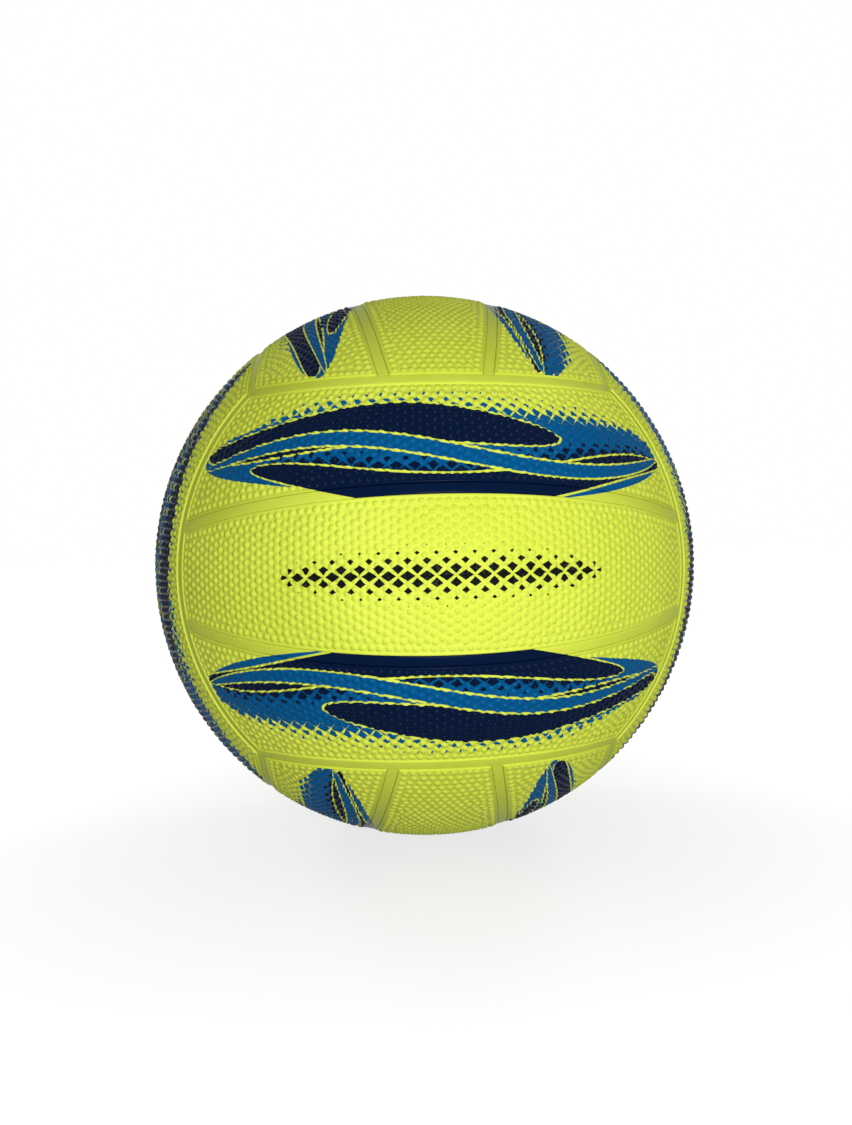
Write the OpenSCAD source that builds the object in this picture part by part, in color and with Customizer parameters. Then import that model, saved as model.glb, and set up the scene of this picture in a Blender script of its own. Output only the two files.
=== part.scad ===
// Size 5 netball: a bladder, a yarn winding and a ribbed rubber carcass
// under eighteen moulded cover panels, with a needle valve at the back.
// The origin is the centre of the ball. The front face looks along -Y.
// Each face of the cover is three strips, and the strips of neighbouring
// faces run at right angles, as the boards of a woven cube would.

/* [Ball] */
// Outside diameter over the cover panels
ball_d = 222.8; // [200:0.2:240]

/* [Cover panels] */
// Thickness of a moulded panel
panel_t = 1.3; // [1:0.1:2.4]
// Width of the channels that frame each face
border_w = 3.9; // [2.5:0.1:6]
// Width of the channels between the strips of a face
seam_w = 3.7; // [2:0.1:6]
// Depth of all the channels below the panels
channel_depth = 0.6; // [0.2:0.1:0.9]
// Width of a middle strip halfway along it, between channel centres
strip_mid_w = 54.4; // [44:0.2:64]
// Width of a middle strip at its ends, between channel centres
strip_end_w = 34.4; // [26:0.2:42]

/* [Panel rims] */
// Width of the raised rim along a panel's face borders
rim_w = 1; // [0.5:0.1:2]
// Height of that rim above the rest of the panel
rim_h = 0.2; // [0.1:0.05:0.4]

/* [Layers under the cover] */
// Thickness of the rubber carcass under the panels
carcass_t = 0.5; // [0.3:0.1:1.5]
// Thickness of the yarn winding
winding_t = 0.3; // [0.2:0.1:1.2]
// Thickness of the bladder wall
bladder_t = 0.6; // [0.4:0.1:1.5]
// Bond line left between one layer and the next
bond_gap = 0.05; // [0.02:0.01:0.1]

/* [Valve boot] */
// Outside radius of the boot's barrel
boot_r = 4.6; // [4.2:0.1:7]
// Length of the barrel, from the outside of the ball inwards
boot_len = 15; // [13:0.5:22]
// Depth of the barrel's face below the panels
boot_recess = 0.2; // [0:0.05:0.4]
// Radius of the flange inside the bladder
flange_r = 13; // [9:0.5:20]
// Thickness of the flange
flange_t = 1.2; // [0.8:0.1:2.5]
// Gap round the barrel in the layers that it passes through
boot_gap = 0.1; // [0.05:0.05:0.3]

/* [Valve core] */
// Radius of the core's head
core_head_r = 3.3; // [2.8:0.1:3.6]
// Length of the head
core_head_len = 1.6; // [1:0.1:2.5]
// Radius of the core's neck
core_neck_r = 2.4; // [2:0.1:2.7]
// Length of the neck
core_neck_len = 6.4; // [4:0.1:7]
// Radius of the bulb that locks the core in its boot
core_bulb_r = 3.1; // [2.8:0.1:3.4]
// Length of the bulb's straight part
core_bulb_len = 1.2; // [0.6:0.1:2]
// Length of the bulb's taper down to the tip
core_taper_len = 2.4; // [1.5:0.1:3]
// Radius of the core's tip
core_tip_r = 1.6; // [1:0.1:1.9]
// Gap between the core and its boot
core_gap = 0.05; // [0.02:0.01:0.15]
// Radius of the needle hole
needle_r = 1.1; // [0.9:0.05:1.3]
// Depth of the needle hole, which ends in a closed slit
needle_depth = 8.6; // [6:0.1:9.5]
// Radius of the funnel at the mouth of the needle hole
funnel_r = 1.8; // [1.5:0.1:2.2]
// Depth of that funnel
funnel_depth = 0.7; // [0.3:0.1:1.2]

/* [Hidden] */
$fn = 128;

rubber_colour = [0.86, 0.94, 0.30];
groove_colour = [0.74, 0.82, 0.26];
yarn_colour = [0.90, 0.89, 0.84];
bladder_colour = [0.11, 0.11, 0.12];
boot_colour = [0.16, 0.17, 0.18];
core_colour = [0.06, 0.06, 0.07];

// How far every cutting solid runs past what it cuts
overrun = 4;

// Radii of the layers, from the outside in
ball_r = ball_d / 2;
panel_in_r = ball_r - panel_t;
carcass_r = panel_in_r - bond_gap;
winding_r = carcass_r - carcass_t - bond_gap;
bladder_r = winding_r - winding_t - bond_gap;
bladder_in_r = bladder_r - bladder_t;
flange_out_r = bladder_in_r - bond_gap;
groove_r = ball_r - channel_depth;
reach = ball_r + overrun;

// Face borders are circles about the six axes that meet at a cube's corners
corner = ball_r / sqrt(3);
border_angle = acos(corner / ball_r);
// Turn that carries a length along the surface, in degrees
function turn(length) = length / ball_r * 180 / PI;

// Seam between two strips: a plane through its half widths at middle and end
mid_half = strip_mid_w / 2;
end_half = strip_end_w / 2;
mid_depth = sqrt(ball_r * ball_r - mid_half * mid_half);
seam_slope = (mid_half - end_half) / (mid_depth - corner);
seam_tilt = atan(seam_slope);
seam_offset = (end_half - seam_slope * corner) * cos(seam_tilt);

// Turns that carry the front face to each of the six faces
to_front = [0, 0, 0];
to_bottom = [90, 0, 90];
to_left = [0, -90, -90];
half_turn = [0, 0, 180];

// Cone with its tip at the ball's centre, round an axis given by its turn
module cone_about(turns, half_angle) {
  rotate(turns)
    cylinder(h = reach, r1 = 0, r2 = reach * tan(half_angle));
}

// Everything above the seam plane, moved outwards by shift
module above_seam(shift) {
  rotate([-seam_tilt, 0, 0])
    translate([-reach, -2 * reach, seam_offset + shift])
      cube([2 * reach, 4 * reach, 2 * reach]);
}

// Wedge of space that an upper strip of the front face fills
module upper_cell(spare) {
  half_border = turn(border_w / 2 - spare);
  difference() {
    intersection() {
      cone_about([90, 0, 0], border_angle - half_border);
      above_seam(seam_w / 2 - spare);
    }
    cone_about([0, 0, 0], border_angle + half_border);
  }
}

// Wedge of space that the middle strip of the front face fills
module middle_cell(spare) {
  difference() {
    cone_about([90, 0, 0], border_angle - turn(border_w / 2 - spare));
    above_seam(spare - seam_w / 2);
    mirror([0, 0, 1]) above_seam(spare - seam_w / 2);
  }
}

// Wedge of a strip: 1 is the upper one, 0 the middle one and -1 the lower one
module cell(strip, spare) {
  if (strip == 0) middle_cell(spare);
  if (strip == 1) upper_cell(spare);
  if (strip == -1) mirror([0, 0, 1]) upper_cell(spare);
}

// Space over a panel of the front face, inside its raised rims
module field_space(strip) {
  edge = turn(border_w / 2 + rim_w);
  difference() {
    cone_about([90, 0, 0], border_angle - edge);
    sphere(r = ball_r);
    if (strip != 0)
      mirror([0, 0, strip == 1 ? 0 : 1])
        cone_about([0, 0, 0], border_angle + edge);
  }
}

// Cover panel of the front face, with rims along its face borders
module panel(strip) {
  color(rubber_colour)
    difference() {
      intersection() {
        cell(strip, 0);
        sphere(r = ball_r + rim_h);
      }
      sphere(r = panel_in_r);
      field_space(strip);
    }
}

// Panel of any face, from the turns that carry the front face there
module face_panel(strip, turns, first_turn = [0, 0, 0]) {
  rotate(turns) rotate(first_turn) panel(strip);
}

// Straight passage for the valve's barrel, open from the centre outwards
module barrel_passage() {
  rotate([-90, 0, 0]) cylinder(h = reach, r = boot_r + boot_gap);
}

module back_middle_panel() {
  color(rubber_colour)
    difference() {
      face_panel(0, half_turn);
      barrel_passage();
    }
}

// Carcass: a thin shell with a rib under each channel between the panels
module carcass() {
  color(groove_colour)
    difference() {
      sphere(r = groove_r);
      sphere(r = carcass_r - carcass_t);
      for (turns = [to_front, to_bottom, to_left])
        for (first_turn = [[0, 0, 0], half_turn])
          for (strip = [-1, 0, 1])
            rotate(turns) rotate(first_turn)
              difference() {
                cell(strip, bond_gap);
                sphere(r = carcass_r);
              }
      barrel_passage();
    }
}

// Closed shell with the valve's passage through it
module layer(outer_r, thickness) {
  difference() {
    sphere(r = outer_r);
    sphere(r = outer_r - thickness);
    barrel_passage();
  }
}

module yarn_winding() {
  color(yarn_colour) layer(winding_r, winding_t);
}

module bladder() {
  color(bladder_colour) layer(bladder_r, bladder_t);
}

// Half outline of the core, from its outer face inwards
function core_outline(spare) = [
  [0, spare],
  [core_head_r + spare, spare],
  [core_head_r + spare, -core_head_len - spare],
  [core_neck_r + spare, -core_head_len - spare],
  [core_neck_r + spare, -core_head_len - core_neck_len + spare],
  [core_bulb_r + spare, -core_head_len - core_neck_len + spare],
  [core_bulb_r + spare, -core_head_len - core_neck_len - core_bulb_len],
  [core_tip_r + spare, -core_head_len - core_neck_len - core_bulb_len - core_taper_len - spare],
  [0, -core_head_len - core_neck_len - core_bulb_len - core_taper_len - spare]
];

// Places what is drawn along -Z from the boot's face at the back of the ball
module at_valve() {
  rotate([-90, 0, 0])
    translate([0, 0, ball_r - boot_recess]) children();
}

// Boot: a barrel through every layer and a flange inside the bladder
module valve_boot() {
  color(boot_colour)
    difference() {
      union() {
        at_valve()
          translate([0, 0, boot_recess - boot_len])
            cylinder(h = boot_len - boot_recess, r = boot_r);
        difference() {
          intersection() {
            sphere(r = flange_out_r);
            rotate([-90, 0, 0]) cylinder(h = reach, r = flange_r);
          }
          sphere(r = flange_out_r - flange_t);
        }
      }
      at_valve() rotate_extrude() polygon(core_outline(core_gap));
      at_valve()
        translate([0, 0, -boot_len])
          cylinder(h = boot_len, r = core_tip_r);
    }
}

// Core: a plug with a needle hole down its middle
module valve_core() {
  color(core_colour)
    at_valve()
      difference() {
        rotate_extrude() polygon(core_outline(0));
        translate([0, 0, -needle_depth]) cylinder(h = needle_depth + overrun, r = needle_r);
        translate([0, 0, -funnel_depth]) cylinder(h = funnel_depth, r1 = needle_r, r2 = funnel_r);
      }
}

face_panel(1, to_front);  // front_upper_panel
face_panel(0, to_front);  // front_middle_panel
face_panel(-1, to_front);  // front_lower_panel
face_panel(1, half_turn);  // back_upper_panel
back_middle_panel();
face_panel(-1, half_turn);  // back_lower_panel
face_panel(-1, to_left);  // left_front_panel
face_panel(0, to_left);  // left_middle_panel
face_panel(1, to_left);  // left_back_panel
face_panel(-1, to_left, half_turn);  // right_front_panel
face_panel(0, to_left, half_turn);  // right_middle_panel
face_panel(1, to_left, half_turn);  // right_back_panel
face_panel(-1, to_bottom, half_turn);  // top_left_panel
face_panel(0, to_bottom, half_turn);  // top_middle_panel
face_panel(1, to_bottom, half_turn);  // top_right_panel
face_panel(-1, to_bottom);  // bottom_left_panel
face_panel(0, to_bottom);  // bottom_middle_panel
face_panel(1, to_bottom);  // bottom_right_panel
carcass();
yarn_winding();
bladder();
valve_boot();
valve_core();
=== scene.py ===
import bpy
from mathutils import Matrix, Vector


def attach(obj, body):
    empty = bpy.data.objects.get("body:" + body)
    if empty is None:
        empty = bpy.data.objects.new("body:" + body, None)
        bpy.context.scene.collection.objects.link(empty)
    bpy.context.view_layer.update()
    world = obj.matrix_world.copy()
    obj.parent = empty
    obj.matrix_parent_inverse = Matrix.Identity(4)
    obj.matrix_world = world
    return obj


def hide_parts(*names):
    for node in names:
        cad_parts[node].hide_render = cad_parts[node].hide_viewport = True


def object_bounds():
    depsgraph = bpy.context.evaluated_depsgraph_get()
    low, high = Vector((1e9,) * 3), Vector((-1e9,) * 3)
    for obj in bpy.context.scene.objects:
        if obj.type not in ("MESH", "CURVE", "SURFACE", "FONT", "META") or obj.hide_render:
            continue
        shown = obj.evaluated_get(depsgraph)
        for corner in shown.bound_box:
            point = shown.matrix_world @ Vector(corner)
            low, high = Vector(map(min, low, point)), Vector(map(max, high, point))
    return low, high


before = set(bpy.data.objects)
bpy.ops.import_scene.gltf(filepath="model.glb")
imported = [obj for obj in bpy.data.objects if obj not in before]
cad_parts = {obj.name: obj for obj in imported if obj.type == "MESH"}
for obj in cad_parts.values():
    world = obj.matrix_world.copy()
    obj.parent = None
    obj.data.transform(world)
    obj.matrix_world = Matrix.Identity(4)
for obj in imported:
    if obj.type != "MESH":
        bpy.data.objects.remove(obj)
cadBox = [list(corner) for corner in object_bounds()]

import math

import bmesh
import bpy
import numpy as np
from mathutils import Matrix, Vector, kdtree

# All of the ball's sizes are in millimetres, and turn to metres where Blender takes them.
# The front face looks along -Y and its three strips run along X.
metresPerMm = 0.001
ballRadius = 111.4
cover = {
    "borderWidth": 3.9,      # channels that frame a face
    "seamWidth": 3.7,        # channels between a face's strips
    "stripMidWidth": 54.4,   # middle strip between channel centres, halfway along
    "stripEndWidth": 34.4,   # and at its ends
    "valveHole": 4.7,        # radius
}
halfBorder = cover["borderWidth"] / 2
halfSeam = cover["seamWidth"] / 2

# Face borders are circles about the six axes, and meet at a cube's corners
cornerDepth = ballRadius / math.sqrt(3)
borderAngle = math.acos(cornerDepth / ballRadius)

# A strip seam is a tilted plane: height = seamHeight + seamSlope * depth
midHalf = cover["stripMidWidth"] / 2
endHalf = cover["stripEndWidth"] / 2
seamSlope = (midHalf - endHalf) / (math.sqrt(ballRadius**2 - midHalf**2) - cornerDepth)
seamTilt = math.atan(seamSlope)
seamHeight = endHalf - seamSlope * cornerDepth


def borderCircle(inset):
    # Circle round the top of the front face, inset in mm from the border's centre line
    return ballRadius * math.cos(borderAngle + inset / ballRadius), 0.0


def seamCircle(shift, side=1):
    # Circle beside a strip seam, shifted outwards by so many mm
    return side * (seamHeight + shift / math.cos(seamTilt)), side * seamSlope


def between(first, last, count):
    # Circles spread evenly from one to another, without the two themselves
    steps = [k / (count + 1) for k in range(1, count + 1)]
    return [tuple(a + (b - a) * step for a, b in zip(first, last)) for step in steps]


def gridOnBall(circles, endInset, endSteps, columnCount):
    # Unit directions where the circles are crossed by columns, from one end of the face to the other
    heights, slopes = (np.array(values) for values in zip(*circles))
    stretch = np.sqrt(1 + slopes**2)
    offset = heights / stretch
    spread = np.sqrt(ballRadius**2 - offset**2)
    centreDepth = -offset * slopes / stretch
    endDepth = ballRadius * math.cos(borderAngle - endInset / ballRadius)
    endTurn = np.arccos((endDepth - centreDepth) * stretch / spread)
    near = np.array(endSteps)[:, None] / spread[None, :]
    inner = endTurn - near[-1]
    evenly = np.linspace(-1, 1, columnCount + 2)[1:-1, None]
    turns = np.concatenate([near - endTurn, evenly * inner, (endTurn - near)[::-1]])
    depth = centreDepth + spread * np.cos(turns) / stretch
    across = offset / stretch + spread * np.cos(turns) * slopes / stretch
    along = spread * np.sin(turns)
    return np.stack([along, -depth, across], axis=-1) / ballRadius


def angleFrom(cosine):
    # Rounding can take a cosine past 1
    return np.arccos(np.clip(cosine, -1, 1))


def edgeDistances(directions, strip):
    # How far each direction lies inside the strip's end, upper and lower edges, in mm
    end = (borderAngle - angleFrom(-directions[..., 1])) * ballRadius - halfBorder
    depth, height = -directions[..., 1] * ballRadius, directions[..., 2] * ballRadius
    aboveSeam = (height - seamSlope * depth - seamHeight) * math.cos(seamTilt)
    belowSeam = (-height - seamSlope * depth - seamHeight) * math.cos(seamTilt)
    if strip == "middle":
        return end, -aboveSeam - halfSeam, -belowSeam - halfSeam
    upper = (angleFrom(directions[..., 2]) - borderAngle) * ballRadius - halfBorder
    return end, upper, aboveSeam - halfSeam


# Map that carries the print: how far along and across its strip each point lies
printMap = {
    "unit": 100,             # mm
    "halfLength": 100,       # where an outer strip's ends lie, whatever its length at that height
    "bare": 2.0,             # place that no ribbon reaches, in units
}


def stripPosition(directions, strip):
    # Millimetres along and across the strip
    latitude = np.arcsin(np.clip(directions[..., 2], -1, 1))
    longitude = np.arctan2(directions[..., 0], -directions[..., 1])
    if strip == "middle":
        return longitude * ballRadius, latitude * ballRadius
    edgeLatitude = math.pi / 2 - borderAngle - halfBorder / ballRadius
    endLongitude = np.arccos(math.cos(borderAngle) / np.cos(latitude))
    return longitude / endLongitude * printMap["halfLength"], (edgeLatitude - latitude) * ballRadius


# Pebbles: low round domes packed as close as the mould's engraver could put them
pebbles = {
    "pitch": 2.85,
    "radius": 1.16,
    "height": 0.66,
    "footReach": 0.14,       # mesh points this near a foot are drawn onto it
    "seamInset": 2.35,       # first row's distance from a strip seam's edge
    "borderInset": 2.15,     # and from a face border's edge
    "valveSpare": 0.8,       # least space from a centre to the valve's lip, in radii
    "sidePoints": 2000,      # that a row along a side is measured with
    "endPoints": 400,        # and a row along an end
    "fieldSpan": (1.3, 1.2),     # half the field's length and height at its start, in radians
    "outerLatitude": 0.43,   # middle of an outer strip, in radians
    "fieldSpare": 0.72,      # least space from the first rows to the field at its start, in pitches
    "rounds": 36,            # times that the field pushes itself apart
    "push": 0.22,
    "pushReach": 1.25,       # in pitches
    "ownPlace": 0.001,       # nearer than this, a neighbour is the pebble itself
    "unevenness": 0.05,      # of the sizes
    "wander": 0.09,          # of the centres
    "mostSpread": 2,         # random draws stay within so many times the usual
    "seed": 7,
}


def edgeRows(strip):
    # Pebbles a pitch apart along the strip's four edges
    border, seam = pebbles["borderInset"], pebbles["seamInset"]
    if strip == "middle":
        rims = [seamCircle(-halfSeam - seam, side) for side in (1, -1)]
    else:
        rims = [borderCircle(halfBorder + border), seamCircle(halfSeam + seam)]
    endInset = halfBorder + border
    sides = [gridOnBall([rim], endInset, [0], pebbles["sidePoints"])[:, 0] for rim in rims]
    ends = gridOnBall([rims[0], *between(*rims, pebbles["endPoints"]), rims[1]], endInset, [0], 1)
    rows = []
    for line in (*sides, ends[0], ends[-1]):
        length = np.linalg.norm(np.diff(line, axis=0), axis=1).sum() * ballRadius
        count = round(length / pebbles["pitch"]) + 1
        places = np.linspace(0, len(line) - 1, count).round().astype(int)
        rows.append(line[places] if len(rows) < 2 else line[places[1:-1]])
    return np.concatenate(rows)


def evenField(strip):
    # Staggered rows over the strip, kept clear of the rows along its edges
    pitch = pebbles["pitch"]
    spanAlong, spanAcross = pebbles["fieldSpan"]
    reach = ballRadius * spanAlong
    columns = np.arange(-reach, reach, pitch * math.sqrt(3) / 2)
    across, along = np.meshgrid(np.arange(-reach, reach, pitch), columns)
    across = across + np.where(np.arange(len(columns)) % 2, pitch / 2, 0)[:, None]
    latitude = across.ravel() / ballRadius
    crowding = math.cos(pebbles["outerLatitude"]) if strip == "upper" else 1
    longitude = along.ravel() / ballRadius / crowding
    field = np.stack([
        np.sin(longitude) * np.cos(latitude),
        -np.cos(longitude) * np.cos(latitude),
        np.sin(latitude),
    ], axis=-1)[(abs(longitude) < spanAlong) & (abs(latitude) < spanAcross)]
    spare = pitch * pebbles["fieldSpare"]
    border, seam = pebbles["borderInset"] + spare, pebbles["seamInset"] + spare
    end, upper, lower = edgeDistances(field, strip)
    return field[(end > border) & (upper > (seam if strip == "middle" else border)) & (lower > seam)]


def pebbleCentres(strip):
    # Rows that follow the edges, and a field between them that pushes itself even
    pitch = pebbles["pitch"]
    fixed, field = edgeRows(strip), evenField(strip)
    for _ in range(pebbles["rounds"]):
        everyone = np.concatenate([field, fixed])
        # Straight from centre to centre, and never quite 0, because it divides
        distance = np.sqrt(np.clip(2 - 2 * field @ everyone.T, 1e-12, None)) * ballRadius
        closeness = np.clip(1 - distance / (pitch * pebbles["pushReach"]), 0, None) / distance
        closeness[distance < pebbles["ownPlace"]] = 0
        shove = (field * closeness.sum(axis=1)[:, None] - closeness @ everyone) * ballRadius
        field = field + shove * pebbles["push"] * pitch / ballRadius
        field /= np.linalg.norm(field, axis=1)[:, None]
    return np.concatenate([field, fixed])


def raisePebbles(directions, centres):
    # Draws the points near a dome's foot onto it, and gives each point its height over the ground
    rng = np.random.default_rng(pebbles["seed"])
    most = pebbles["mostSpread"]
    tree = kdtree.KDTree(len(directions))
    for index, point in enumerate(directions * ballRadius):
        tree.insert(point, index)
    tree.balance()
    wander = rng.standard_normal(centres.shape).clip(-most, most) * pebbles["wander"]
    centres = centres + wander / ballRadius
    centres /= np.linalg.norm(centres, axis=1)[:, None]
    sizes = 1 + pebbles["unevenness"] * rng.standard_normal(len(centres)).clip(-most, most)
    bend = (pebbles["radius"] ** 2 + pebbles["height"] ** 2) / (2 * pebbles["height"])
    drawn, height = directions.copy(), np.zeros(len(directions))
    for centre, size in zip(centres, sizes):
        radius = pebbles["radius"] * size
        found = tree.find_range(Vector(centre * ballRadius), radius + pebbles["footReach"])
        index = np.array([number for _, number, _ in found])
        distance = np.array([away for _, _, away in found])
        atFoot = distance > radius - pebbles["footReach"]
        stretch = (radius / distance[atFoot])[:, None]
        drawn[index[atFoot]] = centre + (directions[index[atFoot]] - centre) * stretch
        inside = index[~atFoot]
        dome = np.sqrt(bend**2 - (distance[~atFoot] / size) ** 2) - bend + pebbles["height"]
        height[inside] = np.maximum(height[inside], dome * size)
    return drawn / np.linalg.norm(drawn, axis=1)[:, None], height


# Edges: distance in from the panel's edge, and height over the pebbles' crowns
edges = {
    "foot": -1.25,
    "borderSteps": [0, 0.05, 0.12, 0.2, 0.28, 0.36, 0.46, 0.6, 0.78, 1.0],
    "borderLip": [-1.25, -0.76, -0.5, -0.24, -0.1, -0.08, -0.16, -0.38, -0.6, -0.68],
    "seamSteps": [0, 0.04, 0.1, 0.2, 0.32, 0.6, 0.9, 1.2],
    "seamLip": [-1.25, -0.8, -0.62, -0.48, -0.4, -0.38, -0.54, -0.68],
    "valveSteps": [0, 0.05, 0.12, 0.25, 0.45, 0.7, 1.0, 1.4, 1.9],
    "valveLip": [-1.25, -0.6, -0.35, -0.12, 0.0, 0.03, -0.06, -0.4, -0.68],
    "wallReach": 0.5,        # a lip's wall ends this far in
}


def stripHeights(directions, strip, withValve):
    # Heights of the ground, lips and channel walls, without the pebbles
    end, upper, lower = edgeDistances(directions, strip)
    lips = [("border", end), ("seam" if strip == "middle" else "border", upper), ("seam", lower)]
    if withValve:
        lips.append(("valve", angleFrom(-directions[..., 1]) * ballRadius - cover["valveHole"]))
    shapes = [
        np.interp(distance, edges[kind + "Steps"], edges[kind + "Lip"])
        for kind, distance in lips
    ]
    # A lip's crest runs on over the ground, but every channel wall cuts down through it
    walls = [
        np.where(distance < edges["wallReach"], shape, np.inf)
        for shape, (_, distance) in zip(shapes, lips)
    ]
    return np.minimum(np.maximum.reduce(shapes), np.minimum.reduce(walls))


# How fine the panels' meshes are, counted in grid lines
meshSteps = {
    "columns": 590,
    "upperRows": 122,
    "middleRows": 134,
    "undersideColumns": 20,
    "undersideRows": 5,
    "valveBlock": 18,        # half the side of the block of grid that the valve's rings replace
    "valveSpare": 8,         # least distance from that block to the underside's next cut
    "valveRings": 10,        # between the valve's lip and the block's outline
}


def stripGrid(strip):
    # Directions of a panel's outer grid, closer together along its lips
    lower = [seamCircle(halfSeam + step) for step in edges["seamSteps"]]
    upper = [borderCircle(halfBorder + step) for step in edges["borderSteps"]][::-1]
    if strip == "middle":
        lower = [seamCircle(-halfSeam - step, -1) for step in edges["seamSteps"]]
        upper = [seamCircle(-halfSeam - step) for step in edges["seamSteps"]][::-1]
    circles = lower + between(lower[-1], upper[0], meshSteps[strip + "Rows"]) + upper
    return gridOnBall(circles, halfBorder, edges["borderSteps"], meshSteps["columns"])


def makeMesh(name, points, faces, stripMm=None):
    # stripMm gives the first points their places along and across the strip
    mesh = bpy.data.meshes.new(name)
    mesh.from_pydata((points * metresPerMm).tolist(), [], faces)
    layer = mesh.uv_layers.new(name="StripMm")
    corners = np.zeros(len(mesh.loops), dtype=np.int32)
    mesh.loops.foreach_get("vertex_index", corners)
    places = np.full((len(points), 2), printMap["bare"])
    if stripMm is not None:
        places[:len(stripMm)] = stripMm / printMap["unit"]
    layer.data.foreach_set("uv", places[corners].astype(np.float32).ravel())
    mesh.shade_smooth()
    mesh.update()
    return mesh


def facesOutwards(mesh):
    work = bmesh.new()
    work.from_mesh(mesh)
    bmesh.ops.recalc_face_normals(work, faces=work.faces)
    work.to_mesh(mesh)
    work.free()
    return mesh


def evenCuts(count, parts, block=None):
    # Grid lines that the underside keeps, with the valve's block among them
    cuts = set(np.linspace(0, count - 1, parts + 1).round().astype(int).tolist())
    if block:
        room = meshSteps["valveBlock"] + meshSteps["valveSpare"]
        cuts = {cut for cut in cuts if abs(cut - count // 2) > room} | set(block)
    return sorted(cuts)


def valveRings(outline):
    # Rings of directions from the edge of the valve's hole out to an outline round it
    turn = np.arctan2(outline[:, 2], outline[:, 0])
    rings = []
    for step in edges["valveSteps"]:
        tilt = (cover["valveHole"] + step) / ballRadius
        rings.append(np.stack([
            np.sin(tilt) * np.cos(turn),
            np.full(len(turn), -np.cos(tilt)),
            np.sin(tilt) * np.sin(turn),
        ], axis=-1))
    lipEnd = rings[-1]
    for share in np.linspace(0, 1, meshSteps["valveRings"] + 2)[1:-1]:
        ring = lipEnd * (1 - share) + outline * share
        rings.append(ring / np.linalg.norm(ring, axis=1)[:, None])
    return rings


def underside(grid, number, first, block=None, rim=None):
    # Coarse faces under a grid, with its outline's points and the rim's. New points count from first
    columns, rows = number.shape
    blockColumns, blockRows = block or (None, None)
    columnCuts = evenCuts(columns, meshSteps["undersideColumns"], blockColumns)
    rowCuts = evenCuts(rows, meshSteps["undersideRows"], blockRows)
    inner, points, faces = {}, [], []
    for i in columnCuts[1:-1]:
        for j in rowCuts[1:-1]:
            inner[i, j] = first + len(points)
            points.append(grid[i, j] * (ballRadius + edges["foot"]))

    def side(start, end):
        # From one corner up to the next, through the outline's own points where it runs on the outline
        (i0, j0), (i1, j1) = start, end
        if not ((i0 == i1 and i0 in (0, columns - 1)) or (j0 == j1 and j0 in (0, rows - 1))):
            return [int(inner.get(start, number[start]))]
        steps = max(abs(i1 - i0), abs(j1 - j0))
        places = [(i0 + (i1 - i0) * k // steps, j0 + (j1 - j0) * k // steps) for k in range(steps)]
        return [int(number[place]) for place in places]

    for a0, a1 in zip(columnCuts[:-1], columnCuts[1:]):
        for b0, b1 in zip(rowCuts[:-1], rowCuts[1:]):
            if not block or (a0, b0) != (blockColumns[0], blockRows[0]):
                ends = [(a0, b0), (a0, b1), (a1, b1), (a1, b0)]
                sides = [side(start, end) for start, end in zip(ends, ends[1:] + ends[:1])]
                faces.append(sum(sides, []))
                continue
            # Round the valve, each side of the block is a face that takes in its share of the rim
            corners = [inner[a0, b0], inner[a1, b0], inner[a1, b1], inner[a0, b1]]
            starts = [0, a1 - a0, a1 - a0 + b1 - b0, 2 * (a1 - a0) + b1 - b0, len(rim)]
            for k in range(4):
                arc = [int(rim[n % len(rim)]) for n in range(starts[k], starts[k + 1] + 1)]
                faces.append([corners[k]] + arc + [corners[(k + 1) % 4]])
    return points, faces


# Map to bake the print on: the strip in two halves, one over the other, and its underside above them
bakeMap = {
    "left": 0.02,
    "width": 0.95,
    "height": 0.42,
    "rows": (0.01, 0.44),
    "underWidth": 0.96,
    "underHeight": 0.1,
    "underRow": 0.88,
}


def shares(line):
    # How far along a line of points each one lies, from 0 to 1
    length = np.concatenate([[0], np.cumsum(np.linalg.norm(np.diff(line, axis=0), axis=1))])
    return length / length[-1]


def addBakeMap(mesh, grid, points, outerCount):
    # The points after the grid's own take their places from where they lie over it
    columns, rows = grid.shape[:2]
    column, row = grid[:, rows // 2], grid[columns // 2]
    alongShare, acrossShare = shares(column), shares(row)
    place = np.zeros((len(points), 2))
    gridShares = np.meshgrid(alongShare, acrossShare, indexing="ij")
    place[:columns * rows] = np.stack(gridShares, axis=-1).reshape(-1, 2)
    others = points[columns * rows:] / np.linalg.norm(points[columns * rows:], axis=1)[:, None]
    longitude, columnLongitude = (np.arctan2(line[:, 0], -line[:, 1]) for line in (others, column))
    place[columns * rows:, 0] = np.interp(longitude, columnLongitude, alongShare)
    place[columns * rows:, 1] = np.interp(others[:, 2], row[:, 2], acrossShare)

    layer = mesh.uv_layers.new(name="OFBake")
    corners = np.zeros(len(mesh.loops), dtype=np.int32)
    mesh.loops.foreach_get("vertex_index", corners)
    starts = np.zeros(len(mesh.polygons), dtype=np.int32)
    mesh.polygons.foreach_get("loop_start", starts)
    sizes = np.diff(np.append(starts, len(corners)))
    face = np.repeat(np.arange(len(starts)), sizes)
    along, across = place[corners].T
    inSecondHalf = (np.add.reduceat(along, starts) / sizes > 0.5)[face]
    onOuter = face < outerCount
    outerU = bakeMap["left"] + (2 * along - inSecondHalf) * bakeMap["width"]
    outerV = np.take(bakeMap["rows"], inSecondHalf.astype(int)) + across * bakeMap["height"]
    u = np.where(onOuter, outerU, bakeMap["left"] + along * bakeMap["underWidth"])
    v = np.where(onOuter, outerV, bakeMap["underRow"] + across * bakeMap["underHeight"])
    layer.data.foreach_set("uv", np.stack([u, v], axis=-1).astype(np.float32).ravel())


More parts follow.
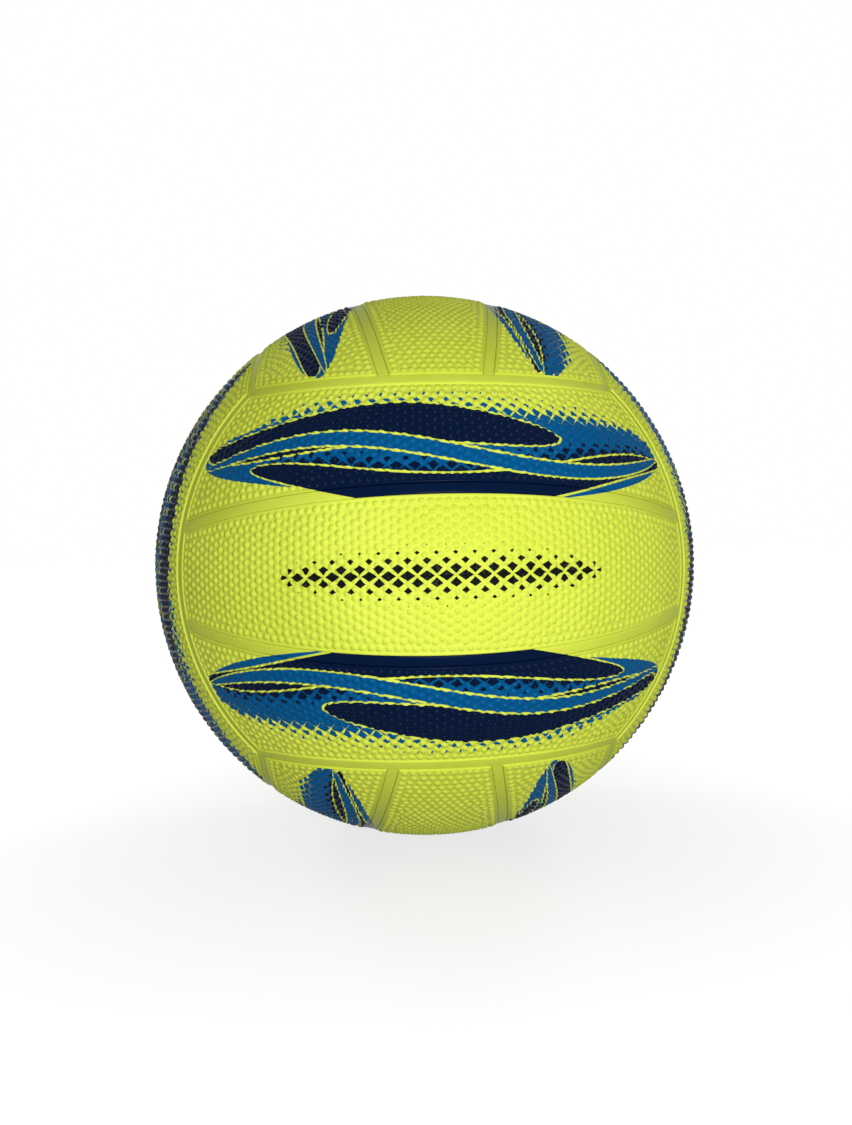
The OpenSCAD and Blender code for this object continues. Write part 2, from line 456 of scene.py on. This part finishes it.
def panelMesh(name, strip, withValve=False):
    # Closed panel: the fine outer grid, and a coarse underside that shares its outline
    grid = stripGrid(strip)
    columns, rows = grid.shape[:2]
    number = np.arange(columns * rows).reshape(columns, rows)
    quads = np.stack([number[:-1, :-1], number[1:, :-1], number[1:, 1:], number[:-1, 1:]], axis=-1)
    directions, centres = grid.reshape(-1, 3), pebbleCentres(strip)
    block, rim, ringFaces = None, None, []
    if withValve:
        # The block of grid round the valve gives way to rings that close in on its hole
        reach = meshSteps["valveBlock"]
        block = [(count // 2 - reach, count // 2 + reach) for count in (columns, rows)]
        (i0, i1), (j0, j1) = block
        inBlock = np.zeros(quads.shape[:2], dtype=bool)
        inBlock[i0:i1, j0:j1] = True
        quads = quads[~inBlock]
        loop = np.concatenate([
            number[i0:i1, j0], number[i1, j0:j1], number[i1:i0:-1, j1], number[i0, j1:j0:-1],
        ])
        rings = valveRings(directions[loop])
        ringNumber = len(directions) + np.arange(len(rings) * len(loop)).reshape(len(rings), len(loop))
        ringNumber = np.concatenate([ringNumber, loop[None, :]])
        after = np.roll(ringNumber, -1, axis=1)
        ringFaces = np.stack([ringNumber[:-1], after[:-1], after[1:], ringNumber[1:]], axis=-1)
        ringFaces = ringFaces.reshape(-1, 4).tolist()
        rim = ringNumber[0]
        directions = np.concatenate([directions, *rings])
        lipEnd = cover["valveHole"] + edges["valveSteps"][-1]
        fromValve = np.arccos(-centres[:, 1]) * ballRadius
        centres = centres[fromValve > lipEnd + pebbles["radius"] * pebbles["valveSpare"]]
    directions, domes = raisePebbles(directions, centres)
    heights = stripHeights(directions, strip, withValve) + domes
    points = directions * (ballRadius + heights)[:, None]
    outerFaces = quads.reshape(-1, 4).tolist() + ringFaces
    underPoints, underFaces = underside(grid, number, len(points), block, rim)
    points = np.concatenate([points, np.array(underPoints)])
    place = np.stack(stripPosition(directions, strip), axis=-1)
    mesh = makeMesh(name, points, outerFaces + underFaces, place)
    addBakeMap(mesh, grid, points, len(outerFaces))
    return facesOutwards(mesh)


# Carcass: ribs that show in the channels, and a thin shell under them that stops at the valve
carcass = {
    "ribProfile": [          # distance in from the rib's edge, and height
        (0, -1.5), (0.03, -1.0), (0.1, -0.82), (0.2, -0.71), (0.32, -0.64), (0.5, -0.61), (1.2, -0.59),
    ],
    "ribCrown": -0.58,
    "ribFoot": -1.9,
    "ribColumns": 150,
    "ribEndSteps": [0, 1, 2, 3, 4],
    "endDrop": 0.05,         # a rib runs a little lower into the next,
    "endLength": 4,          # over this length
    "shellOuter": 110.05,
    "shellInner": 109.6,
    "shellRings": 72,
    "shellSides": 144,
}


def ribMesh(name, kind):
    # The floor of one channel
    half = cover[kind + "Width"] / 2
    profile = carcass["ribProfile"] + [(half, carcass["ribCrown"])]
    profile += [(2 * half - step, height) for step, height in profile[-2::-1]]
    circle = borderCircle if kind == "border" else seamCircle
    circles = [circle(step - half) for step, _ in profile]
    directions = gridOnBall(circles, 0, carcass["ribEndSteps"], carcass["ribColumns"])
    fromEnd = (borderAngle - np.arccos(-directions[..., 1])) * ballRadius
    drop = carcass["endDrop"] * np.clip(1 - fromEnd / carcass["endLength"], 0, 1)
    heights = np.array([height for _, height in profile])[None, :] - drop
    top = directions * (ballRadius + heights)[..., None]
    bottom = directions[:, (0, -1)] * (ballRadius + carcass["ribFoot"])
    points = np.concatenate([top, bottom], axis=1)
    columns, rows = points.shape[:2]
    number = np.arange(columns * rows).reshape(columns, rows)
    ring = number[:, list(range(rows - 2)) + [rows - 1, rows - 2]]
    after = np.roll(ring, -1, axis=1)
    faces = np.stack([ring[:-1], after[:-1], after[1:], ring[1:]], axis=-1).reshape(-1, 4).tolist()
    faces += [ring[0].tolist(), ring[-1][::-1].tolist()]
    unit = points / np.linalg.norm(points, axis=-1)[..., None]
    place = np.stack(stripPosition(unit, "upper"), axis=-1).reshape(-1, 2)
    mesh = makeMesh(name, points.reshape(-1, 3), faces, place if kind == "seam" else None)
    return facesOutwards(mesh)


def lathe(name, outline, sides):
    # Turns an outline of (radius, height) round the valve's axis, which runs along Y
    points, rings = [], []
    for radius, height in outline:
        if radius == 0:
            rings.append([len(points)] * sides)
            points.append((0, height, 0))
            continue
        rings.append(list(range(len(points), len(points) + sides)))
        for k in range(sides):
            turn = math.tau * k / sides
            points.append((radius * math.cos(turn), height, radius * math.sin(turn)))
    faces = []
    for lower, upper in zip(rings, rings[1:] + rings[:1]):
        for k in range(sides):
            corners = [lower[k], lower[(k + 1) % sides], upper[(k + 1) % sides], upper[k]]
            corners = list(dict.fromkeys(corners))
            if len(corners) > 2:
                faces.append(corners)
    return facesOutwards(makeMesh(name, np.array(points, dtype=float), faces))


def shellMesh():
    outer, inner = carcass["shellOuter"], carcass["shellInner"]
    opening = math.asin(cover["valveHole"] / outer)
    rings = carcass["shellRings"]
    polar = [opening + (math.pi - opening) * k / rings for k in range(rings)]
    outline = [(outer * math.sin(t), outer * math.cos(t)) for t in polar]
    outline += [(0, -outer), (0, -inner)]
    outline += [(inner * math.sin(t), inner * math.cos(t)) for t in polar[::-1]]
    return lathe("carcassShell", outline, carcass["shellSides"])


def joined(name, meshes):
    # One mesh from several
    work = bmesh.new()
    for mesh in meshes:
        work.from_mesh(mesh)
    whole = bpy.data.meshes.new(name)
    work.to_mesh(whole)
    work.free()
    whole.shade_smooth()
    return whole


def addPiece(name, mesh, material, node):
    piece = bpy.data.objects.new(name, mesh)
    bpy.context.collection.objects.link(piece)
    mesh.materials.append(material)
    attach(piece, "root")
    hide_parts(node)
    return piece


def linearColour(hexText):
    channels = [int(hexText[k:k + 2], 16) / 255 for k in (1, 3, 5)]
    linear = [c / 12.92 if c <= 0.04045 else ((c + 0.055) / 1.055) ** 2.4 for c in channels]
    return (*linear, 1.0)


def addNode(tree, kind, inputs=(), **settings):
    # Inputs are given by the sockets' names or numbers, or as a list in their order. A mix takes
    # numbers: 0 is its factor, 2 and 3 are its values, and 6 and 7 are its colours.
    node = tree.nodes.new(kind)
    for key, value in settings.items():
        setattr(node, key, value)
    for socket, value in inputs.items() if isinstance(inputs, dict) else enumerate(inputs):
        if isinstance(value, bpy.types.Node):
            value = value.outputs[0]
        if isinstance(value, bpy.types.NodeSocket):
            tree.links.new(value, node.inputs[socket])
        else:
            node.inputs[socket].default_value = value
    return node


def newMaterial(name):
    material = bpy.data.materials.new(name)
    material.use_nodes = True
    material.node_tree.nodes.clear()
    return material, material.node_tree


# Moulded rubber: a soft, faintly chalky surface, so highlights stay broad and low, and a bright
# yellow that drifts a little from place to place
rubber = {
    "colour": "#E5F358",
    "shade": "#DDEB4E",
    "cloudSize": 45.0,       # slow unevenness of the pigment
    "cloudSpread": (0.35, 0.65),     # noise that gives all of one colour, and of the other
    "grainSize": 0.35,       # bloom on the surface, drawn coarser than it is so that it shows
    "grainHeight": 0.01,
    "roughness": 0.38,
    "specular": 0.04,        # low, because the bloom takes the gloss away
    "ior": 1.5,
}


def rubberColour(tree, position):
    cloud = addNode(tree, "ShaderNodeTexNoise", {
        "Vector": position, "Scale": 1 / (rubber["cloudSize"] * metresPerMm),
        "Detail": 3.0, "Roughness": 0.55,
    })
    low, high = rubber["cloudSpread"]
    spread = addNode(tree, "ShaderNodeMapRange", {
        "Value": cloud.outputs["Fac"], "From Min": low, "From Max": high,
    })
    return addNode(tree, "ShaderNodeMix", {
        0: spread, 6: linearColour(rubber["colour"]), 7: linearColour(rubber["shade"]),
    }, data_type="RGBA").outputs[2]


def rubberSurface(tree, position, colour, roughness):
    grain = addNode(tree, "ShaderNodeTexNoise", {
        "Vector": position, "Scale": 1 / (rubber["grainSize"] * metresPerMm), "Detail": 2.0,
    })
    bump = addNode(tree, "ShaderNodeBump", {
        "Height": grain.outputs["Fac"], "Distance": rubber["grainHeight"] * metresPerMm,
        "Strength": 1.0,
    })
    shader = addNode(tree, "ShaderNodeBsdfPrincipled", {
        "Base Color": colour, "Roughness": roughness, "Normal": bump, "IOR": rubber["ior"],
        "Specular IOR Level": rubber["specular"],
    })
    addNode(tree, "ShaderNodeOutputMaterial", {"Surface": shader})


def plainRubber():
    material, tree = newMaterial("mouldedRubberPlain")
    position = addNode(tree, "ShaderNodeTexCoord").outputs["Object"]
    rubberSurface(tree, position, rubberColour(tree, position), rubber["roughness"])
    return material


# Screen ink on the rubber: flat, dense and a little smoother than the rubber itself.
# A ribbon is a wave along the strip that narrows towards its ends. Lengths are in mm, and centre
# is measured down from the border channel, or up from the middle of a middle strip. A fade breaks
# the ribbon's upper side into rhombi that shrink from its edge out to so many half widths. With
# solid both sides are broken, and they shrink from there.
yellow = rubber["colour"]        # bare rubber, which parts one ink from the next
blue, navy, black = "#005C94", "#011637", "#101310"
ink = {
    "roughness": 0.29,
    "pitch": 4.8,            # of the rhombi
    "squeeze": 0.8,          # their height over their length
    "gap": 0.02,             # least space between two, as a share of their size
    "taper": 0.46,           # lower is blunter
    "strip": [
        dict(colour=blue, centre=24.5, swing=2.6, length=210, start=0.5,
             half=12.5, middle=8, reach=89, fade=1.9),
        dict(colour=blue, centre=27, swing=2.6, length=210, start=0.5,
             half=14.5, middle=0, reach=97),
        dict(colour=yellow, centre=20, swing=4.2, length=175, start=-1,
             half=8.2, middle=-26, reach=71),
        dict(colour=navy, centre=20, swing=4.2, length=175, start=-1,
             half=7.4, middle=-26, reach=70),
        dict(colour=navy, centre=35, swing=5, length=176, start=1.4,
             half=6, middle=15, reach=81, fade=2.4),
        dict(colour=yellow, centre=35, swing=5, length=176, start=1.4,
             half=6.2, middle=14, reach=83),
        dict(colour=navy, centre=35, swing=5, length=176, start=1.4,
             half=5.4, middle=14, reach=82),
        dict(colour=yellow, centre=27.5, swing=6.4, length=186, start=-0.2,
             half=3.4, middle=1, reach=96),
        dict(colour=blue, centre=27.5, swing=6.4, length=186, start=-0.2,
             half=2.6, middle=1, reach=95),
    ],
    "middle": [
        dict(colour=black, centre=0, swing=0, length=200, start=0,
             half=11, middle=0, reach=54, fade=1, solid=-0.2),
    ],
}


def rhombusLattice(tree, along, across):
    # 0 at a rhombus's centre, and just over 1 at the edges of its cell, which leaves the gap
    squeezed = addNode(tree, "ShaderNodeMath", [along, ink["squeeze"]], operation="MULTIPLY")
    folded = []
    for way in ("ADD", "SUBTRACT"):
        diagonal = addNode(tree, "ShaderNodeMath", [squeezed, across], operation=way)
        diagonal = addNode(tree, "ShaderNodeMath", [diagonal, 1 / ink["pitch"]], operation="MULTIPLY")
        folded.append(addNode(tree, "ShaderNodeMath", [diagonal, 0.5], operation="PINGPONG"))
    lattice = addNode(tree, "ShaderNodeMath", folded, operation="MAXIMUM")
    return addNode(tree, "ShaderNodeMath", [lattice, 2 * (1 + ink["gap"])], operation="MULTIPLY")


def ribbonMask(tree, along, across, lattice, ribbon):
    # 1 where the ribbon lies, and 0 elsewhere
    phase = addNode(tree, "ShaderNodeMath", [along, math.tau / ribbon["length"], ribbon["start"]],
                    operation="MULTIPLY_ADD")
    wave = addNode(tree, "ShaderNodeMath", [phase], operation="SINE")
    line = addNode(tree, "ShaderNodeMath", [wave, ribbon["swing"], ribbon["centre"]],
                   operation="MULTIPLY_ADD")
    offset = addNode(tree, "ShaderNodeMath", [across, line], operation="SUBTRACT")
    away = addNode(tree, "ShaderNodeMath", [offset], operation="ABSOLUTE")
    reach = ribbon["reach"]
    place = addNode(tree, "ShaderNodeMath", [along, 1 / reach, -ribbon["middle"] / reach],
                    operation="MULTIPLY_ADD")
    square = addNode(tree, "ShaderNodeMath", [place, place], operation="MULTIPLY")
    room = addNode(tree, "ShaderNodeMath", [1.0, square], operation="SUBTRACT")
    room = addNode(tree, "ShaderNodeMath", [room, 0.0], operation="MAXIMUM")
    narrowing = addNode(tree, "ShaderNodeMath", [room, ink["taper"]], operation="POWER")
    half = addNode(tree, "ShaderNodeMath", [narrowing, ribbon["half"]], operation="MULTIPLY")
    if "fade" not in ribbon:
        return addNode(tree, "ShaderNodeMath", [away, half], operation="LESS_THAN")
    # Never quite 0, because the distance from the ribbon's line is divided by it
    half = addNode(tree, "ShaderNodeMath", [half, 0.001], operation="MAXIMUM")
    nearness = addNode(tree, "ShaderNodeMath", [away, half], operation="DIVIDE")
    size = addNode(tree, "ShaderNodeMapRange", {
        "Value": nearness, "From Min": ribbon.get("solid", 1.0), "From Max": ribbon["fade"],
        "To Min": 1.0, "To Max": 0.0,
    })
    mask = addNode(tree, "ShaderNodeMath", [lattice, size], operation="LESS_THAN")
    if "solid" in ribbon:
        return mask
    above = addNode(tree, "ShaderNodeMath", [offset, 0.0], operation="LESS_THAN")
    return addNode(tree, "ShaderNodeMath", [mask, above], operation="MULTIPLY")


def printedRubber(name, ribbons):
    material, tree = newMaterial(name)
    position = addNode(tree, "ShaderNodeTexCoord").outputs["Object"]
    place = addNode(tree, "ShaderNodeUVMap", uv_map="StripMm")
    toMm = (printMap["unit"], printMap["unit"], 1.0)
    inMm = addNode(tree, "ShaderNodeVectorMath", [place, toMm], operation="MULTIPLY")
    along, across, _ = addNode(tree, "ShaderNodeSeparateXYZ", [inMm]).outputs
    lattice = rhombusLattice(tree, along, across)
    colour, inked = rubberColour(tree, position), 0.0
    for ribbon in ribbons:
        mask = ribbonMask(tree, along, across, lattice, ribbon)
        bare = ribbon["colour"] == yellow
        layer = rubberColour(tree, position) if bare else linearColour(ribbon["colour"])
        mixed = addNode(tree, "ShaderNodeMix", {0: mask, 6: colour, 7: layer}, data_type="RGBA")
        colour = mixed.outputs[2]
        inked = addNode(tree, "ShaderNodeMix", {0: mask, 2: inked, 3: 0.0 if bare else 1.0}).outputs[0]
    roughness = addNode(tree, "ShaderNodeMapRange", {
        "Value": inked, "To Min": rubber["roughness"], "To Max": ink["roughness"],
    })
    rubberSurface(tree, position, colour, roughness)
    return material


# Moulded butyl: matt black, dulled in patches by the grey dust that settles on it. The bladder was
# talced before it was wound, which leaves larger patches.
butyl = {
    "boot": "#2B2D2F",
    "core": "#141516",
    "bladder": "#1E1F21",
    "dust": "#4A4C4E",
    "dustSize": 1.6,
    "talcSize": 12.0,        # of the bladder's patches
    "dustSpread": (0.5, 0.8),    # noise that gives none of it, and the most
    "mostDust": 0.45,
    "dustHeight": 0.02,
    "roughness": 0.58,
    "ior": 1.52,
}


def mouldedButyl(name, colour, dustSize):
    material, tree = newMaterial(name)
    position = addNode(tree, "ShaderNodeTexCoord").outputs["Object"]
    dust = addNode(tree, "ShaderNodeTexNoise", {
        "Vector": position, "Scale": 1 / (dustSize * metresPerMm), "Detail": 5.0,
    })
    low, high = butyl["dustSpread"]
    amount = addNode(tree, "ShaderNodeMapRange", {
        "Value": dust.outputs["Fac"], "From Min": low, "From Max": high, "To Max": butyl["mostDust"],
    })
    mixed = addNode(tree, "ShaderNodeMix", {
        0: amount, 6: linearColour(colour), 7: linearColour(butyl["dust"]),
    }, data_type="RGBA")
    bump = addNode(tree, "ShaderNodeBump", {
        "Height": dust.outputs["Fac"], "Distance": butyl["dustHeight"] * metresPerMm,
    })
    shader = addNode(tree, "ShaderNodeBsdfPrincipled", {
        "Base Color": mixed.outputs[2], "Roughness": butyl["roughness"], "Normal": bump,
        "IOR": butyl["ior"],
    })
    addNode(tree, "ShaderNodeOutputMaterial", {"Surface": shader})
    return material


# Nylon yarn, wound in two crossing directions and tacked with latex: fine off-white threads, with
# painted shade as darker lines between them
winding = {
    "light": "#DAD6C8",
    # painted shade in the gaps between the threads
    "shadeBetweenThreads": "#9C978A",
    "yarn": 0.5,             # real yarn is about 0.2, and is drawn coarser so that it shows
    "waveLength": 0.314,     # metres between the bands of a wave texture at scale 1
    "turns": ((0.6, 0.3, 0.0), (-0.5, 0.9, 0.4)),
    "depth": 0.12,
    "roughness": 0.65,
    "ior": 1.53,
}


def woundNylon():
    material, tree = newMaterial("nylonYarnWound")
    position = addNode(tree, "ShaderNodeTexCoord").outputs["Object"]
    layers = []
    for turn in winding["turns"]:
        turned = addNode(tree, "ShaderNodeMapping", {"Vector": position, "Rotation": turn})
        layers.append(addNode(tree, "ShaderNodeTexWave", {
            "Vector": turned, "Scale": winding["waveLength"] / (winding["yarn"] * metresPerMm),
            "Distortion": 1.5, "Detail": 1.0,
        }).outputs["Fac"])
    thread = addNode(tree, "ShaderNodeMath", layers, operation="MAXIMUM")
    # Painted shade: the gaps between the threads take the darker copy of the yarn's colour
    mixed = addNode(tree, "ShaderNodeMix", {
        0: thread, 6: linearColour(winding["shadeBetweenThreads"]), 7: linearColour(winding["light"]),
    }, data_type="RGBA")
    bump = addNode(tree, "ShaderNodeBump", {
        "Height": thread, "Distance": winding["depth"] * metresPerMm,
    })
    shader = addNode(tree, "ShaderNodeBsdfPrincipled", {
        "Base Color": mixed.outputs[2], "Roughness": winding["roughness"], "Normal": bump,
        "IOR": winding["ior"],
    })
    addNode(tree, "ShaderNodeOutputMaterial", {"Surface": shader})
    return material


stripPrint = printedRubber("mouldedRubberPrinted", ink["strip"])
middlePrint = printedRubber("mouldedRubberMarked", ink["middle"])
bareRubber = plainRubber()
for node, material in (
    ("bladder", mouldedButyl("talcedButyl", butyl["bladder"], butyl["talcSize"])),
    ("yarn_winding", woundNylon()),
):
    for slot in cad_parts[node].material_slots:
        slot.material = material
print("materials made")

# Turns that carry the front face to each of the six, and the names of its strips there
toFront = Matrix.Identity(3)
toBottom = Matrix(((0, 0, 1), (1, 0, 0), (0, 1, 0)))
toLeft = toBottom @ toBottom
halfTurn = Matrix.Rotation(math.pi, 3, "Z")
upsideDown = Matrix.Rotation(math.pi, 3, "Y")
faces = {
    "front": (toFront, "upper", "lower"),
    "back": (halfTurn, "upper", "lower"),
    "left": (toLeft, "back", "front"),
    "right": (toLeft @ halfTurn, "back", "front"),
    "top": (toBottom @ halfTurn, "right", "left"),
    "bottom": (toBottom, "right", "left"),
}

panels = {
    "outer": panelMesh("outerPanel", "upper"),
    "middle": panelMesh("middlePanel", "middle"),
    "valved": panelMesh("valvedPanel", "middle", withValve=True),
}
for kind, mesh in panels.items():
    print(kind, "panel has", len(mesh.polygons), "faces")
ribs = [ribMesh("borderRib", "border"), ribMesh("seamRib", "seam")]
carcassParts = []
for face, (turn, upperName, lowerName) in faces.items():
    for name, extraTurn in ((upperName, toFront), ("middle", toFront), (lowerName, upsideDown)):
        placed = (turn @ extraTurn).to_4x4()
        node = face + "_" + name + "_panel"
        if name == "middle":
            mesh = panels["valved" if face == "back" else "middle"].copy()
            mesh.transform(placed)
            material = middlePrint if face == "front" else bareRubber
            addPiece(node + "_skin", mesh, material, node)
            continue
        mesh = panels["outer"].copy()
        mesh.transform(placed)
        addPiece(node + "_skin", mesh, stripPrint, node)
        for rib in ribs:
            part = rib.copy()
            part.transform(placed)
            carcassParts.append(part)
print("panels made")

carcassMesh = joined("carcass", [*carcassParts, shellMesh()])
addPiece("carcass_ribbed", carcassMesh, stripPrint, "carcass")

# Valve boot and core, as radius and height from the boot's outer face
valve = {
    "face": 111.2,           # from the ball's centre
    "sides": 72,
    "boot": [
        (3.35, -1.65), (3.35, -0.16), (3.4, -0.05), (3.5, 0.0), (4.2, 0.0), (4.4, -0.04),
        (4.54, -0.14), (4.6, -0.3), (4.6, -2.6), (4.7, -2.78), (4.9, -2.82), (8.0, -3.0),
        (11.0, -3.27), (12.6, -3.46), (12.94, -3.58), (13.0, -3.8), (13.0, -4.4), (12.9, -4.6),
        (12.6, -4.65), (9.0, -4.28), (5.2, -4.04), (4.8, -4.1), (4.6, -4.35), (4.6, -14.5),
        (4.52, -14.8), (4.3, -15.0), (1.8, -15.0), (1.65, -14.94), (1.6, -14.8), (1.6, -11.7),
        (3.12, -9.24), (3.15, -9.1), (3.15, -8.0), (3.1, -7.95), (2.5, -7.95), (2.45, -7.9),
        (2.45, -1.7), (2.5, -1.65),
    ],
    "core": [
        (0, -8.6), (1.0, -8.6), (1.1, -8.5), (1.1, -0.72), (1.16, -0.6), (1.7, -0.08),
        (1.8, -0.02), (1.9, 0.0), (2.95, 0.0), (3.12, -0.04), (3.24, -0.14), (3.3, -0.32),
        (3.3, -1.5), (3.25, -1.58), (3.15, -1.6), (2.5, -1.6), (2.4, -1.7), (2.4, -8.0),
        (2.5, -8.0), (3.0, -8.0), (3.08, -8.04), (3.1, -8.15), (3.1, -9.1), (3.05, -9.25),
        (1.65, -11.5), (1.5, -11.58), (0, -11.6),
    ],
}
for part in ("boot", "core"):
    node = "valve_" + part
    outline = [(radius, valve["face"] + height) for radius, height in valve[part]]
    mesh = lathe(node + "_turned", outline, valve["sides"])
    material = mouldedButyl("mouldedButyl" + part.capitalize(), butyl[part], butyl["dustSize"])
    addPiece(node + "_turned", mesh, material, node)
print("carcass and valve made")

# Camera: where the photograph was taken from, fitted to the ball's seams
view = {
    "distance": 382.65,
    "lens": 28.373,
    "clipStart": 0.01,
    "sideways": -0.6,        # ball's centre from the camera's axis, in mm
    "upwards": -1.11,
    "roll": -1.36,           # the ball's turns, in degrees
    "pitch": 1.508,
    "turn": 3.554,
}
ballTurn = (
    Matrix.Rotation(math.radians(view["roll"]), 3, "Y")
    @ Matrix.Rotation(math.radians(view["pitch"]), 3, "X")
    @ Matrix.Rotation(math.radians(view["turn"]), 3, "Z")
)
towardsBall = Vector((view["sideways"], view["distance"], view["upwards"]))
cameraAxes = Matrix(((1, 0, 0), (0, 0, -1), (0, 1, 0)))      # looks along Y with Z up
camera = bpy.data.objects.new("camera", bpy.data.cameras.new("camera"))
camera.data.lens = view["lens"]
camera.data.clip_start = view["clipStart"]
camera.matrix_world = (
    Matrix.Translation(ballTurn.inverted() @ -towardsBall * metresPerMm)
    @ (ballTurn.inverted() @ cameraAxes).to_4x4()
)
bpy.context.collection.objects.link(camera)
bpy.context.scene.camera = camera

# Studio: pale floor, white surround, a soft lamp by the camera and two behind the ball, a weak fill
studio = {
    "floorSize": 12.0,
    "surround": "#FFFFFF",
    "fill": 0.12,
    "lamps": {               # place and size in metres, power in watts, and whether gloss shows it
        "frontLamp": ((0.02, -0.45, 0.02), 0.08, 1.12, True),
        "leftLamp": ((-0.4, 0.4, 0.2), 0.14, 1.4, False),
        "rightLamp": ((0.4, 0.4, 0.2), 0.14, 1.4, False),
    },
}


def seenAsSurround(tree):
    # 1 for rays that show the surround, and 0 for rays that light the ball
    path = addNode(tree, "ShaderNodeLightPath").outputs
    seen = addNode(tree, "ShaderNodeMath", [path["Is Camera Ray"], path["Is Transmission Ray"]],
                   operation="MAXIMUM")
    return addNode(tree, "ShaderNodeMath", [seen, path["Is Glossy Ray"]], operation="MAXIMUM")


# Matt paper sweep: white, with the ball's soft shadow. The paper's own colour is a mid grey, so that
# little light comes up from it onto the ball, and the glow whitens what the camera sees. The glow is
# weaker near the ball, which paints a grey pool of shadow round it on top of the real shadow.
paper = {
    "colour": "#7C7C7C",
    "roughness": 0.9,
    "specular": 0.1,
    "glow": "#FFFFFF",
    # Painted shadow: this weaker glow greys the paper round the ball
    "paintedShadowGlow": 0.66,        # at the start of the span, which lies inside the ball
    "glowFar": 1.0,          # and from its end on
    "glowSpan": (0.04, 0.3),     # metres from the ball's centre
}


def mattPaper():
    material, tree = newMaterial("mattPaper")
    position = addNode(tree, "ShaderNodeTexCoord").outputs["Object"]
    away = addNode(tree, "ShaderNodeVectorMath", [position], operation="LENGTH").outputs["Value"]
    nearest, farthest = paper["glowSpan"]
    # Painted shadow: the glow grows from grey near the ball to white away from it
    glow = addNode(tree, "ShaderNodeMapRange", {
        "Value": away, "From Min": nearest, "From Max": farthest,
        "To Min": paper["paintedShadowGlow"], "To Max": paper["glowFar"],
    })
    strength = addNode(tree, "ShaderNodeMath", [glow, seenAsSurround(tree)], operation="MULTIPLY")
    shader = addNode(tree, "ShaderNodeBsdfPrincipled", {
        "Base Color": linearColour(paper["colour"]), "Roughness": paper["roughness"],
        "Specular IOR Level": paper["specular"],
        "Emission Color": linearColour(paper["glow"]), "Emission Strength": strength,
    })
    addNode(tree, "ShaderNodeOutputMaterial", {"Surface": shader})
    return material


low = cadBox[0][2]
half = studio["floorSize"] / 2
floorMesh = bpy.data.meshes.new("floor")
floorCorners = [(-half, -half, low), (half, -half, low), (half, half, low), (-half, half, low)]
floorMesh.from_pydata(floorCorners, [], [(0, 1, 2, 3)])
floorMesh.materials.append(mattPaper())
floor = bpy.data.objects.new("floor", floorMesh)
bpy.context.collection.objects.link(floor)

for name, (place, size, power, inGloss) in studio["lamps"].items():
    lamp = bpy.data.objects.new(name, bpy.data.lights.new(name, "AREA"))
    lamp.data.energy = power
    lamp.data.size = size
    lamp.location = place
    lamp.rotation_euler = (-lamp.location).to_track_quat("-Z", "Y").to_euler()
    lamp.visible_camera = False
    lamp.visible_glossy = inGloss
    bpy.context.collection.objects.link(lamp)

world = bpy.data.worlds.new("studio")
world.use_nodes = True
world.node_tree.nodes.clear()
strength = addNode(world.node_tree, "ShaderNodeMapRange", {
    "Value": seenAsSurround(world.node_tree), "To Min": studio["fill"], "To Max": 1.0,
})
background = addNode(world.node_tree, "ShaderNodeBackground", {
    "Color": linearColour(studio["surround"]), "Strength": strength,
})
addNode(world.node_tree, "ShaderNodeOutputWorld", {"Surface": background})
bpy.context.scene.world = world
bpy.context.scene.view_settings.view_transform = "Standard"
print("camera, floor and lights made")
